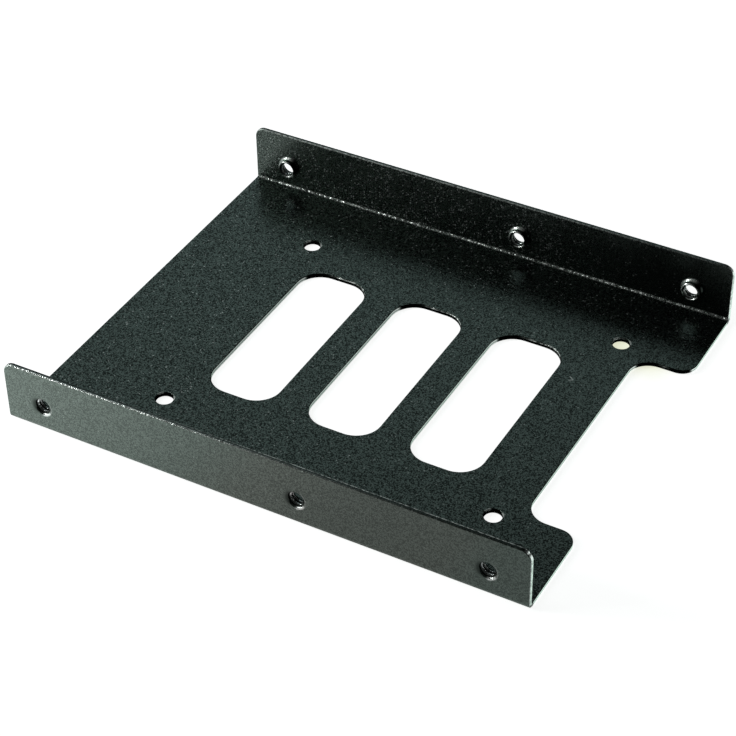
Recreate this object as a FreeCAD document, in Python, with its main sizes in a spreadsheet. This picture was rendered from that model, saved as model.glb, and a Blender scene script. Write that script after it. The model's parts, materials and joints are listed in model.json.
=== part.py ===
import FreeCAD, Part
import math
import os
import Sketcher
from FreeCAD import Vector

NODE = "tray"

# Every independent size, in millimetres
SIZES = [
    ("length", 119.5, "along the flanges"),
    ("width", 100.6, "over the outsides of the flanges"),
    ("height", 14.7, "underside of the floor to the top of the flanges"),
    ("thickness", 1.0, "coated sheet"),
    ("bend_inner_radius", 0.4, "inside of each fold"),
    ("flange_corner_radius", 2.4, "top corners of the flanges"),
    ("slot_width", 16.2, "along the flanges"),
    ("slot_length", 46.0, "across the tray"),
    ("slot_corner_radius", 5.6, "each corner of a slot"),
    ("slot_pitch", 23.9, "centre to centre"),
    ("slot_middle_place", 1.9, "middle slot from the middle of the tray"),
    ("notch_depth", 12.1, "in from the connector end"),
    ("notch_width", 56.0, "between the two ears"),
    ("notch_corner_radius", 4.8, "inner corners of the notch"),
    ("ear_corner_radius", 3.7, "corners of the ears beside the notch"),
    ("small_drive_pitch_along", 76.6, "bottom holes of a 2.5-inch drive"),
    ("small_drive_pitch_across", 61.72, "bottom holes of a 2.5-inch drive"),
    ("small_drive_place", 4.2, "middle of the floor holes from the middle of the tray"),
    ("floor_hole_diameter", 3.8, "plain holes in the floor"),
    ("bay_pitch_long", 60.0, "side holes of a 3.5-inch drive, middle to far"),
    ("bay_pitch_short", 41.6, "side holes of a 3.5-inch drive, near to middle"),
    ("bay_hole_height", 6.35, "side holes above the underside"),
    ("thread_diameter", 3.505, "number six screw thread, over the crests"),
    ("collar_wall", 0.42, "drawn collar round each thread"),
    ("collar_reach", 1.5, "collar beyond the inner face of the flange"),
    ("collar_root_break", 0.3, "slope from the flange to the collar"),
    ("collar_rim_break", 0.15, "inner and outer rims of the collar end"),
    ("mouth_radius", 0.5, "rounded mouth on the outer face"),
    ("edge_break", 0.16, "cut edges of the sheet"),
]

doc = FreeCAD.newDocument("Tray")
sheet = doc.addObject("Spreadsheet::Sheet", "Sizes")
for row, (name, value, note) in enumerate(SIZES, start=1):
    sheet.set("A%d" % row, name)
    sheet.set("B%d" % row, str(value))
    sheet.setAlias("B%d" % row, name)
    sheet.set("C%d" % row, note)
doc.recompute()

SIZE = {name: value for name, value, note in SIZES}
LINE_START, LINE_END, CENTRE = range(1, 4)
ROOT_POINT = (-1, 1)
AXIS_X, AXIS_Y = range(-1, -3, -1)
QUARTER_TURN = math.pi / 2

body = doc.addObject("PartDesign::Body", "Tray")
body.Label = NODE


def plane(role):
    """The body's own origin plane with this role."""
    for item in body.Origin.OriginFeatures:
        if item.Role == role:
            return item
    raise RuntimeError("no origin plane " + role)


def new_sketch(name, role):
    """An empty sketch on one of the body's origin planes."""
    sketch = body.newObject("Sketcher::SketchObject", name)
    sketch.AttachmentSupport = [(plane(role), "")]
    sketch.MapMode = "FlatFace"
    return sketch


def dimension(sketch, name, kind, *targets_and_value, formula):
    """A named dimension of a sketch, bound to the sheet."""
    index = sketch.addConstraint(Sketcher.Constraint(kind, *targets_and_value))
    sketch.renameConstraint(index, name)
    sketch.setExpression("Constraints." + name, formula)


def settle(sketch):
    """Solves a sketch and stops if a size in it is loose or stated twice."""
    doc.recompute()
    if sketch.solve() != 0 or not sketch.FullyConstrained:
        raise RuntimeError("%s is not settled by its sizes" % sketch.Name)


def finish(feature):
    """Recomputes and stops at the first feature that failed."""
    doc.recompute()
    if "Invalid" in feature.State or "Error" in feature.State:
        raise RuntimeError("%s failed: %s" % (feature.Name, feature.State))
    if hasattr(feature, "Shape") and feature.TypeId.startswith("PartDesign::"):
        if feature.Shape.isNull() or not feature.Shape.isValid():
            raise RuntimeError("%s has a bad shape" % feature.Name)
    return feature


def quarter_arc(cx, cy, radius, turn):
    """A quarter circle that starts this many quarter turns from the sketch's first axis."""
    circle = Part.Circle(Vector(cx, cy, 0), Vector(0, 0, 1), radius)
    return Part.ArcOfCircle(circle, turn * QUARTER_TURN, (turn + 1) * QUARTER_TURN)


def rounded_rectangle(sketch, x0, x1, y0, y1, r):
    """Eight edges of a rectangle with round corners: four sides, then four arcs, tangent all round."""
    sides = [
        (Vector(x0 + r, y0, 0), Vector(x1 - r, y0, 0)),
        (Vector(x1, y0 + r, 0), Vector(x1, y1 - r, 0)),
        (Vector(x1 - r, y1, 0), Vector(x0 + r, y1, 0)),
        (Vector(x0, y1 - r, 0), Vector(x0, y0 + r, 0)),
    ]
    lines = [sketch.addGeometry(Part.LineSegment(a, b), False) for a, b in sides]
    corners = [(x1 - r, y0 + r, -1), (x1 - r, y1 - r, 0), (x0 + r, y1 - r, 1), (x0 + r, y0 + r, 2)]
    arcs = []
    for cx, cy, turn in corners:
        arcs.append(sketch.addGeometry(quarter_arc(cx, cy, r, turn), False))
    for index in range(4):
        following = lines[(index + 1) % 4]
        sketch.addConstraint(Sketcher.Constraint("Tangent", lines[index], LINE_END, arcs[index], LINE_START))
        sketch.addConstraint(Sketcher.Constraint("Tangent", arcs[index], LINE_END, following, LINE_START))
    sketch.addConstraint(Sketcher.Constraint("Horizontal", lines[0]))
    sketch.addConstraint(Sketcher.Constraint("Horizontal", lines[2]))
    sketch.addConstraint(Sketcher.Constraint("Vertical", lines[1]))
    sketch.addConstraint(Sketcher.Constraint("Vertical", lines[3]))
    for index in range(1, 4):
        sketch.addConstraint(Sketcher.Constraint("Equal", arcs[0], arcs[index]))
    return lines, arcs


def middle(edge):
    """The parameter half way along an edge."""
    return 0.5 * (edge.FirstParameter + edge.LastParameter)


def edge_names(feature, wanted):
    """Names of the edges of a feature whose middle point passes a test."""
    names = []
    for index, edge in enumerate(feature.Shape.Edges, start=1):
        if wanted(edge, edge.valueAt(middle(edge))):
            names.append("Edge%d" % index)
    if not names:
        raise RuntimeError("no edge found on " + feature.Name)
    return names


def fillet(name, base, names, cell):
    """A round on named edges, its radius bound to the sheet."""
    feature = body.newObject("PartDesign::Fillet", name)
    feature.Base = (base, names)
    feature.Radius = SIZE[cell]
    feature.setExpression("Radius", "Sizes." + cell)
    return finish(feature)


def edge_break(name, base, names, cell):
    """A small even slope on named edges, its width bound to the sheet."""
    feature = body.newObject("PartDesign::Chamfer", name)
    feature.Base = (base, names)
    feature.Size = SIZE[cell]
    feature.setExpression("Size", "Sizes." + cell)
    return finish(feature)


def through_pocket(name, profile, base):
    """A cut straight through, both ways from its sketch."""
    pocket = body.newObject("PartDesign::Pocket", name)
    pocket.Profile = profile
    pocket.Type = "ThroughAll"
    pocket.Midplane = True
    finish(pocket)
    if pocket.Shape.Volume >= base.Shape.Volume:
        raise RuntimeError(name + " cut nothing")
    return pocket


def near(a, b, limit=1e-3):
    """True where two lengths agree."""
    return abs(a - b) < limit


# The folded section: floor, two folds and two upright flanges, seen along the flanges
half_l = SIZE["length"] / 2
half_w = SIZE["width"] / 2
t = SIZE["thickness"]
bend_in = SIZE["bend_inner_radius"]
bend_out = bend_in + t
top = SIZE["height"]

section = new_sketch("Section", "YZ_Plane")
outline = [
    (Vector(-half_w + bend_out, 0, 0), Vector(half_w - bend_out, 0, 0)),
    (Vector(half_w, bend_out, 0), Vector(half_w, top, 0)),
    (Vector(half_w, top, 0), Vector(half_w - t, top, 0)),
    (Vector(half_w - t, top, 0), Vector(half_w - t, bend_out, 0)),
    (Vector(half_w - bend_out, t, 0), Vector(-half_w + bend_out, t, 0)),
    (Vector(-half_w + t, bend_out, 0), Vector(-half_w + t, top, 0)),
    (Vector(-half_w + t, top, 0), Vector(-half_w, top, 0)),
    (Vector(-half_w, top, 0), Vector(-half_w, bend_out, 0)),
]
bottom, right_out, right_top, right_in, floor_top, left_in, left_top, left_out = [
    section.addGeometry(Part.LineSegment(a, b), False) for a, b in outline
]


def section_arc(side, radius, turn):
    """One quarter circle of a fold."""
    return section.addGeometry(quarter_arc(side * (half_w - bend_out), bend_out, radius, turn), False)


fold_out_right = section_arc(1, bend_out, 3)
fold_in_right = section_arc(1, bend_in, 3)
fold_in_left = section_arc(-1, bend_in, 2)
fold_out_left = section_arc(-1, bend_out, 2)


def tangent(first, first_end, second, second_end):
    """Joins two edges of the section smoothly."""
    section.addConstraint(Sketcher.Constraint("Tangent", first, first_end, second, second_end))


def joined(first, first_end, second, second_end):
    """Joins two edges of the section at a corner."""
    section.addConstraint(Sketcher.Constraint("Coincident", first, first_end, second, second_end))


tangent(bottom, LINE_END, fold_out_right, LINE_START)
tangent(fold_out_right, LINE_END, right_out, LINE_START)
joined(right_out, LINE_END, right_top, LINE_START)
joined(right_top, LINE_END, right_in, LINE_START)
tangent(right_in, LINE_END, fold_in_right, LINE_END)
tangent(fold_in_right, LINE_START, floor_top, LINE_START)
tangent(floor_top, LINE_END, fold_in_left, LINE_END)
tangent(fold_in_left, LINE_START, left_in, LINE_START)
joined(left_in, LINE_END, left_top, LINE_START)
joined(left_top, LINE_END, left_out, LINE_START)
tangent(left_out, LINE_END, fold_out_left, LINE_START)
tangent(fold_out_left, LINE_END, bottom, LINE_START)
for flat in (bottom, right_top, floor_top, left_top):
    section.addConstraint(Sketcher.Constraint("Horizontal", flat))
for upright in (right_out, right_in, left_in, left_out):
    section.addConstraint(Sketcher.Constraint("Vertical", upright))
section.addConstraint(Sketcher.Constraint("PointOnObject", bottom, LINE_START, AXIS_X))
section.addConstraint(Sketcher.Constraint("Symmetric", right_out, LINE_END, left_out, LINE_START, AXIS_Y))
dimension(section, "over_all", "DistanceX", left_out, LINE_START, right_out, LINE_END, 2 * half_w,
          formula="Sizes.width")
dimension(section, "upright", "DistanceY", *ROOT_POINT, right_out, LINE_END, top, formula="Sizes.height")
dimension(section, "sheet_floor", "DistanceY", *ROOT_POINT, floor_top, LINE_END, t, formula="Sizes.thickness")
dimension(section, "sheet_right", "DistanceX", right_in, LINE_START, right_out, LINE_END, t,
          formula="Sizes.thickness")
dimension(section, "sheet_left", "DistanceX", left_out, LINE_START, left_in, LINE_END, t,
          formula="Sizes.thickness")
dimension(section, "fold_right", "Radius", fold_in_right, bend_in, formula="Sizes.bend_inner_radius")
dimension(section, "fold_left", "Radius", fold_in_left, bend_in, formula="Sizes.bend_inner_radius")
OUTER_FOLD = "Sizes.bend_inner_radius + Sizes.thickness"
dimension(section, "fold_outer_right", "Radius", fold_out_right, bend_out, formula=OUTER_FOLD)
dimension(section, "fold_outer_left", "Radius", fold_out_left, bend_out, formula=OUTER_FOLD)
settle(section)

folded = body.newObject("PartDesign::Pad", "Folded")
folded.Profile = section
folded.Midplane = True
folded.Length = SIZE["length"]
folded.setExpression("Length", "Sizes.length")
finish(folded)

# The drawn collars on the inside of both flanges
collar_outer = SIZE["thread_diameter"] / 2 + SIZE["collar_wall"]
far_x = -(SIZE["bay_pitch_long"] + SIZE["bay_pitch_short"]) / 2
middle_x = far_x + SIZE["bay_pitch_long"]
near_x = middle_x + SIZE["bay_pitch_short"]
BAY_PLACES = [
    ("far", far_x, "-(Sizes.bay_pitch_long + Sizes.bay_pitch_short) / 2"),
    ("mid", middle_x, "(Sizes.bay_pitch_long - Sizes.bay_pitch_short) / 2"),
    ("near", near_x, "(Sizes.bay_pitch_long + Sizes.bay_pitch_short) / 2"),
]


def bay_circles(sketch, radius, radius_formula):
    """Three circles at the side-hole places of a 3.5-inch drive."""
    first = None
    for name, place, formula in BAY_PLACES:
        circle = Part.Circle(Vector(place, SIZE["bay_hole_height"], 0), Vector(0, 0, 1), radius)
        index = sketch.addGeometry(circle, False)
        if first is None:
            first = index
            dimension(sketch, "radius", "Radius", index, radius, formula=radius_formula)
        else:
            sketch.addConstraint(Sketcher.Constraint("Equal", first, index))
        dimension(sketch, name + "_x", "DistanceX", *ROOT_POINT, index, CENTRE, place, formula=formula)
        dimension(sketch, name + "_z", "DistanceY", *ROOT_POINT, index, CENTRE, SIZE["bay_hole_height"],
                  formula="Sizes.bay_hole_height")


def collars(name, side, base):
    """Three short tubes' outsides, from within the flange wall to the collar ends."""
    sketch = new_sketch(name + "Circles", "XZ_Plane")
    bay_circles(sketch, collar_outer, "Sizes.thread_diameter / 2 + Sizes.collar_wall")
    reach = "Sizes.width / 2 - Sizes.thickness - Sizes.collar_reach"
    sketch.setExpression("AttachmentOffset.Base.z", ("-1 * " if side > 0 else "") + "(" + reach + ")")
    settle(sketch)
    pad = body.newObject("PartDesign::Pad", name)
    pad.Profile = sketch
    pad.Length = SIZE["collar_reach"] + t / 2
    pad.setExpression("Length", "Sizes.collar_reach + Sizes.thickness / 2")
    pad.Reversed = side > 0
    finish(pad)
    if pad.Shape.Volume <= base.Shape.Volume:
        raise RuntimeError(name + " added nothing")
    return pad


front_collars = collars("FrontCollars", -1, folded)
rear_collars = collars("RearCollars", 1, front_collars)

# The bores of the six threaded holes, straight through both flanges
bores_sketch = new_sketch("BoreCircles", "XZ_Plane")
bay_circles(bores_sketch, SIZE["thread_diameter"] / 2, "Sizes.thread_diameter / 2")
settle(bores_sketch)
bores = through_pocket("Bores", bores_sketch, rear_collars)

# The notch for the drive's connectors, its outline carried as far beyond the end as it is deep
notch_floor = half_l - SIZE["notch_depth"]
half_notch = SIZE["notch_width"] / 2
notch_r = SIZE["notch_corner_radius"]
notch_sketch = new_sketch("NotchOutline", "XY_Plane")
notch_lines, notch_arcs = rounded_rectangle(
    notch_sketch, notch_floor, half_l + SIZE["notch_depth"], -half_notch, half_notch, notch_r)
dimension(notch_sketch, "depth_line", "DistanceX", *ROOT_POINT, notch_lines[3], LINE_START, notch_floor,
          formula="Sizes.length / 2 - Sizes.notch_depth")
dimension(notch_sketch, "opening", "DistanceX", notch_lines[3], LINE_START, notch_lines[1], LINE_START,
          2 * SIZE["notch_depth"], formula="Sizes.notch_depth * 2")
dimension(notch_sketch, "across", "DistanceY", notch_lines[0], LINE_START, notch_lines[2], LINE_END,
          SIZE["notch_width"], formula="Sizes.notch_width")
dimension(notch_sketch, "lower_side", "DistanceY", *ROOT_POINT, notch_lines[2], LINE_END, half_notch,
          formula="Sizes.notch_width / 2")
dimension(notch_sketch, "corner", "Radius", notch_arcs[0], notch_r, formula="Sizes.notch_corner_radius")
settle(notch_sketch)
notch = through_pocket("Notch", notch_sketch, bores)

# One long slot, repeated three times along the tray
slot_sketch = new_sketch("SlotOutline", "XY_Plane")
slot_first = SIZE["slot_middle_place"] - SIZE["slot_pitch"]
half_slot = SIZE["slot_width"] / 2
half_slot_length = SIZE["slot_length"] / 2
slot_r = SIZE["slot_corner_radius"]
slot_lines, slot_arcs = rounded_rectangle(
    slot_sketch, slot_first - half_slot, slot_first + half_slot, -half_slot_length, half_slot_length, slot_r)
slot_side = slot_first + half_slot
dimension(slot_sketch, "near_side", "DistanceX", *ROOT_POINT, slot_lines[1], LINE_START, slot_side,
          formula="Sizes.slot_middle_place - Sizes.slot_pitch + Sizes.slot_width / 2")
dimension(slot_sketch, "across", "DistanceX", slot_lines[3], LINE_START, slot_lines[1], LINE_START,
          SIZE["slot_width"], formula="Sizes.slot_width")
dimension(slot_sketch, "along", "DistanceY", slot_lines[0], LINE_START, slot_lines[2], LINE_END,
          SIZE["slot_length"], formula="Sizes.slot_length")
dimension(slot_sketch, "far_end", "DistanceY", *ROOT_POINT, slot_lines[2], LINE_END, half_slot_length,
          formula="Sizes.slot_length / 2")
dimension(slot_sketch, "corner", "Radius", slot_arcs[0], slot_r, formula="Sizes.slot_corner_radius")
settle(slot_sketch)
slot = through_pocket("Slot", slot_sketch, notch)
slots = body.newObject("PartDesign::LinearPattern", "Slots")
slots.Originals = [slot]
slots.Direction = (slot_sketch, ["H_Axis"])
slots.Length = 2 * SIZE["slot_pitch"]
slots.setExpression("Length", "Sizes.slot_pitch * 2")
slots.Occurrences = 3
body.Tip = slots
finish(slots)
if slots.Shape.Volume >= slot.Shape.Volume:
    raise RuntimeError("the slot was not repeated")

# The four plain floor holes of a 2.5-inch drive
hole_sketch = new_sketch("FloorHoleCircles", "XY_Plane")
first_hole = None
for name, side_x, side_y in (("a", -1, -1), ("b", 1, -1), ("c", 1, 1), ("d", -1, 1)):
    hole_x = SIZE["small_drive_place"] + side_x * SIZE["small_drive_pitch_along"] / 2
    hole_y = side_y * SIZE["small_drive_pitch_across"] / 2
    radius = SIZE["floor_hole_diameter"] / 2
    hole = hole_sketch.addGeometry(Part.Circle(Vector(hole_x, hole_y, 0), Vector(0, 0, 1), radius), False)
    if first_hole is None:
        first_hole = hole
        dimension(hole_sketch, "diameter", "Diameter", hole, 2 * radius, formula="Sizes.floor_hole_diameter")
    else:
        hole_sketch.addConstraint(Sketcher.Constraint("Equal", first_hole, hole))
    along = "%+d * Sizes.small_drive_pitch_along / 2" % side_x
    dimension(hole_sketch, name + "_x", "DistanceX", *ROOT_POINT, hole, CENTRE, hole_x,
              formula="Sizes.small_drive_place " + along)
    dimension(hole_sketch, name + "_y", "DistanceY", *ROOT_POINT, hole, CENTRE, hole_y,
              formula="%d * Sizes.small_drive_pitch_across / 2" % side_y)
settle(hole_sketch)
floor_holes = through_pocket("FloorHoles", hole_sketch, slots)


# Round top corners of the flanges and round corners of the ears
def is_flange_corner(edge, point):
    """True for the edge across the sheet at each end of a flange's top."""
    return near(abs(point.x), half_l) and near(point.z, top) and near(abs(point.y), half_w - t / 2)


def is_ear_corner(edge, point):
    """True for the edge through the sheet at the tip of each ear."""
    return near(point.x, half_l) and near(abs(point.y), half_notch) and near(point.z, t / 2)


corner_edges = edge_names(floor_holes, is_flange_corner)
corners = fillet("FlangeCorners", floor_holes, corner_edges, "flange_corner_radius")
ears = fillet("EarCorners", corners, edge_names(corners, is_ear_corner), "ear_corner_radius")

# Drawn forms of the threaded holes: round mouth outside, sloped root and broken rims inside
collar_end = half_w - t - SIZE["collar_reach"]
bore_r = SIZE["thread_diameter"] / 2


def is_circle(edge, radius):
    """True for a full circle or arc of this radius."""
    return isinstance(edge.Curve, Part.Circle) and near(edge.Curve.Radius, radius)


def is_mouth(edge, point):
    """True for the rim of a bore on the outer face of a flange."""
    return is_circle(edge, bore_r) and near(abs(point.y), half_w)


def is_collar_root(edge, point):
    """True where a collar leaves the inner face of a flange."""
    return is_circle(edge, collar_outer) and near(abs(point.y), half_w - t)


def is_collar_rim(edge, point):
    """True for the inner and outer rims of a collar's end."""
    return isinstance(edge.Curve, Part.Circle) and near(abs(point.y), collar_end)


mouths = fillet("Mouths", ears, edge_names(ears, is_mouth), "mouth_radius")
roots = edge_break("CollarRoots", mouths, edge_names(mouths, is_collar_root), "collar_root_break")
rims = edge_break("CollarRims", roots, edge_names(roots, is_collar_rim), "collar_rim_break")

# Broken edges along the cuts of the sheet, with the undersides of the slots and floor holes left sharp
fold_level = bend_out


def on_sheet_side(point):
    """True on the inner or outer surface of the folded sheet, away from its cut walls."""
    ay = abs(point.y)
    if near(ay, half_w) and point.z > fold_level - 1e-3:
        return True
    if near(ay, half_w - t) and point.z > fold_level - 1e-3:
        return True
    if (near(point.z, 0) or near(point.z, t)) and ay < half_w - fold_level + 1e-3:
        return True
    reach = ((ay - (half_w - bend_out)) ** 2 + (point.z - bend_out) ** 2) ** 0.5
    in_fold = ay > half_w - bend_out and point.z < bend_out
    return in_fold and (near(reach, bend_in) or near(reach, bend_out))


def is_cut_edge(edge, point):
    """True for an edge where a punched or sheared wall meets a surface of the sheet."""
    if not on_sheet_side(point):
        return False
    if near(point.x, -half_l) or near(point.x, half_l) or near(point.z, top):
        return True
    if isinstance(edge.Curve, Part.Circle) and near(edge.Curve.Radius, SIZE["flange_corner_radius"]):
        return True
    if not (near(point.z, 0) or near(point.z, t)):
        return False
    if near(point.z, 0) and point.x < notch_floor - t:
        return False
    along_fold = near(abs(point.y), half_w - bend_out)
    return not along_fold


edges = edge_break("CutEdges", rims, edge_names(rims, is_cut_edge), "edge_break")
body.Tip = edges
doc.recompute()

for item in doc.Objects:
    if "Invalid" in item.State or "Error" in item.State:
        raise RuntimeError("%s is in state %s" % (item.Name, item.State))
if body.Shape.isNull() or not body.Shape.isValid() or len(body.Shape.Solids) != 1:
    raise RuntimeError("the tray is not one sound solid")

os.makedirs("parts", exist_ok=True)
body.Shape.exportStep("parts/" + NODE + ".step")
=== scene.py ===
import json
import math

import bpy
import numpy as np
from mathutils import Matrix, Vector


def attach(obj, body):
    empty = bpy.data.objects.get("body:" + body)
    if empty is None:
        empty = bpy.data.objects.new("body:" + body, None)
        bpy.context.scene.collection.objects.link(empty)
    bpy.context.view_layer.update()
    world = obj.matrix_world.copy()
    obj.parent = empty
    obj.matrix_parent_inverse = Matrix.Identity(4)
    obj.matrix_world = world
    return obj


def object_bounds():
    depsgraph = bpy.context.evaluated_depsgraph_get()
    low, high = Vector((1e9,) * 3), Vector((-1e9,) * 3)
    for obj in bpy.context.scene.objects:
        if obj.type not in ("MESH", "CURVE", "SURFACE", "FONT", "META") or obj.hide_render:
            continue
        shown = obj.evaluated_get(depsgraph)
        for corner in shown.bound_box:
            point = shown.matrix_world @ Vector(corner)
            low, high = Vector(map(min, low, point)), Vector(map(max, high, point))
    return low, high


bl_info = {
    "name": "Drive Tray",
    "version": (1, 0, 0),
    "blender": (4, 5, 0),
    "location": "View3D > Sidebar > Drive Tray",
    "description": "Powder coat, screw threads and a white studio for a folded steel drive tray",
    "category": "Object",
}

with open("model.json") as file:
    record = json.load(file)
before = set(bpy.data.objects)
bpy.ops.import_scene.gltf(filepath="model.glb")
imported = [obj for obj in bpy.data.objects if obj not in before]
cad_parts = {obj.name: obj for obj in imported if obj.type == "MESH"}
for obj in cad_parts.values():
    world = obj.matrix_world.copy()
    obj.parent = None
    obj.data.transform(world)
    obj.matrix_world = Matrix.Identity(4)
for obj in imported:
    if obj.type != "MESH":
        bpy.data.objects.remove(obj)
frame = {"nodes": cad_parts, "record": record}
CAD_BOX = [list(corner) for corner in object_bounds()]
TRAY = frame["nodes"]["tray"]
THREADED_HOLES = [mount for mount in frame["record"]["mounts"] if mount["kind"] == "threaded_hole"]

MM = 0.001
PER_MM = 1 / MM
TURN = 2 * math.pi
WHITE = (1.0, 1.0, 1.0, 1.0)
BLACK = (0.0, 0.0, 0.0, 1.0)

# Sizes of the tray in millimetres, as the finish needs them
HALF_LENGTH = CAD_BOX[1][0] * PER_MM
HALF_WIDTH = CAD_BOX[1][1] * PER_MM
HEIGHT = CAD_BOX[1][2] * PER_MM
SHEET = 1.0
REAR_INNER_FACE = HALF_WIDTH - SHEET
FLANGE_CORNER = 2.4
SLOT_LEFT_WALLS = (-30.1, -6.2, 17.7)
NOTCH_WALL = 47.65
FACING_WALLS = (*SLOT_LEFT_WALLS, NOTCH_WALL, HALF_LENGTH)
REAR_FOLD = (REAR_INNER_FACE - 0.18, SHEET + 0.05)
REAR_FOLD_END = (REAR_INNER_FACE - 0.06, SHEET + 0.18)
FLOOR_HOLES_MIDDLE = 4.2
FLOOR_HOLES_ALONG = 38.3
FLOOR_HOLES_ACROSS = 30.86
FLOOR_HOLE_RADIUS = 1.9
COLLAR_RADIUS = 2.17
COLLAR_REACH = 1.5

# Places of the marks in millimetres, on the floor, and for the spot along and up the front flange
SCUFF_TIP = (38.6, 14.7)
SCUFF_UPPER = (37.6, 15.4)
SCUFF_LOWER = (37.9, 14.2)
BRIGHT_DOTS = ((-14.7, 26.3), (34.7, -11.1))
FRONT_SPOT = (-31.5, 8.45)

# Noises of the coat: features to the millimetre, detail and roughness, and for the grain the last two
GRAIN = (1.0, 0.5)
MOTTLE = (0.11, 3.0, 0.55)
STREAK = (1.5, 2.0, 0.65)
DROPS = (1.9, 1.0, 0.5)
DRAG = (4.0, 2.0, 0.5)

# Edges of masks: 0 at the first number and 1 at the second, and two such pairs for a band
FRONT_HALF = (0.0, -1.0)
REAR_HALF = (0.0, 1.0)
ACROSS_MIDDLE = (-1.0, 1.0)
TO_LEFT = (75.0, -55.0)
OUTER_FACES = (HALF_WIDTH - 0.4, HALF_WIDTH - 0.2)
FRONT_FACE = (-HALF_WIDTH + 0.7, -HALF_WIDTH + 0.6)
FLOOR_FACE = ((SHEET - 0.1, SHEET), (SHEET + 0.2, SHEET + 0.1))
REAR_WALL = (-0.3, -0.1)
ABOVE_FOLD = (1.2, 1.8)

# Grain and flecks of the coat
RAISED_GRAIN = (0.42, 0.62)
LOW_GRAIN = (0.57, 0.42)
OUTER_PITS_LOSS = 0.5
# Painted shade: matte black over the right of the rear wall
REAR_RIGHT_SHADE = 0.6
REAR_RIGHT_SHADE_ALONG = (15.0, 50.0)
FLECK_FIRM_SHARE = 0.9
FLECK_RADIUS = 0.30
FLECK_RADIUS_SPREAD = 0.14
FLECK_EDGE = (1.0, 0.6)
FLECK_FAINTEST = 0.1
# Painted light: flecks fade to this share towards the right
FLECK_RIGHT = 0.3
REAR_FLECKS = 0.12
# Painted shade: most flecks are left out on the right of the rear wall
REAR_RIGHT = (5.0, 45.0)
REAR_RIGHT_LOSS = 0.85
REAR_RIGHT_LOTS = (0.93, 0.89)
GRAIN_SHADE = 0.7
GRAIN_MOTTLE = 0.6
RAISED_ROUGHNESS = 0.10
MOTTLE_ROUGHNESS = 0.05
RELIEF_DEPTH = 0.05 * MM
FLECK_RELIEF = 0.3
LINE_RELIEF = 20
FOLD_RELIEF = 30
# Metal share of the painted highlights on the rims, the fold and at the hole mouths and collars
HIGHLIGHT_METAL = 0.8

# Painted highlight lines on the flanges and the rear fold, and the marks
BEADS = (0.38, 0.58)
LINE_LEAST = 0.3
OUTER_LINE_DEPTH = (-0.24, -0.14)
OUTER_LINE_FACE = (0.46, 0.36)
OUTER_LINE_LEAST = 0.5
OUTER_LINE_ALONG = (50.0, -50.0)
INNER_LINE_DEPTH = (-0.30, -0.20)
INNER_LINE_FACE = ((SHEET - 0.42, SHEET - 0.30), (SHEET + 0.08, SHEET + 0.02))
INNER_LINE_ALONG = (-60.0, 20.0)
REAR_LINE_DEPTH = (-0.28, -0.16)
REAR_LINE_FACE = ((-0.05, 0.02), (0.36, 0.24))
# Painted light: the rear highlight line fades to this share towards the right
REAR_LINE_RIGHT = 0.25
FOLD_WIDTH = (0.32, 0.18)
FOLD_DROPS = (0.44, 0.54)
FOLD_LEAST = 0.12
SCUFF_WIDTH = (0.20, 0.05)
SCUFF_WEAR = 0.8
DOT_WIDTH = (0.22, 0.08)
DOT_WEAR = 0.6
SPOT_WIDTH = (0.75, 0.25)
SPOT_DARK = 0.35

# Ends and tops of the flanges: bare metal ends with a painted glint at the top corner, and painted shade on
# the tops
END_FACE = (HALF_LENGTH - 0.18, HALF_LENGTH - 0.08)
END_FACE_BOTTOM = (0.9, 1.1)
END_FACE_LEAST = 0.7
AT_CORNER = (HALF_LENGTH - 1.8, HALF_LENGTH - 1.2)
CORNER_BOTTOM = (HEIGHT - 2.2, HEIGHT - 1.8)
RIM_DEPTH = (-0.05, -0.01)
# Painted shade on the tops of the front and rear flanges
FRONT_TOP_DARK = 0.7
REAR_TOP_DARK = 0.6
REAR_TOP = (0.2, 0.4)

# Walls punched through the floor: painted shade on most, bare metal standing in for reflection where they
# face the connector end, and painted highlights on rims
WALL = ((0.02, 0.05), (SHEET - 0.01, SHEET - 0.05))
BETWEEN_FOLDS = (48.7, 48.5)
FACING_NEAR = (0.9, 0.4)
FACING_TOP = (0.90, 0.82)
LEFT_PART = (8.0, 4.0)
FAR_END = (18.5, 20.5)
FAR_RIM_BOTTOM = (0.62, 0.72)
FAR_RIM_LEAST = 0.15
FAR_RIM_BEADS = 0.65
# Painted shade: a darker band across the middle of the walls that face the connector end
DARK_LINE = ((0.24, 0.34), (0.56, 0.46))
DARK_LINE_LOSS = 0.5
HOLE_RIM = ((FLOOR_HOLE_RADIUS - 0.1, FLOOR_HOLE_RADIUS), (2.3, 2.1))
HOLE_RIM_BOTTOM = (0.75, 0.82)
HOLE_FAR_SIDE = (0.1, 0.35)
HOLE_OFF_MIDDLE = (0.5, 0.75)
HOLE_ARC_LEAST = 0.7

# Rings round the threaded holes, by distance from the middle or from the inner face of the rear flange, for
# the painted highlights on the mouths and collars and the painted shade in the bores and beside the holes
BORE = (1.82, 1.76)
BORE_DARK = 0.92
MOUTH_RING = ((1.62, 1.74), (2.5, 2.2))
MOUTH_RIGHT_RING = (2.0, 2.2)
MOUTH_RIGHT_HIGHLIGHT = 0.4
MOUTH_SHADE_RING = (3.2, 1.9)
MOUTH_DARK = 0.7
COLLAR_END = (0.3, 0.2)
COLLAR_RIM = ((1.70, 1.78), (COLLAR_RADIUS + 0.1, COLLAR_RADIUS))
COLLAR_FOOT = (-0.6, -0.4)
COLLAR_FOOT_RING = ((2.1, 2.2), (2.8, 2.6))
COLLAR_DEPTH = ((-COLLAR_REACH - 0.2, -COLLAR_REACH), (0.2, 0.1))
COLLAR_SHADE_RING = (3.2, 2.6)
COLLAR_DARK = 0.9

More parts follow.
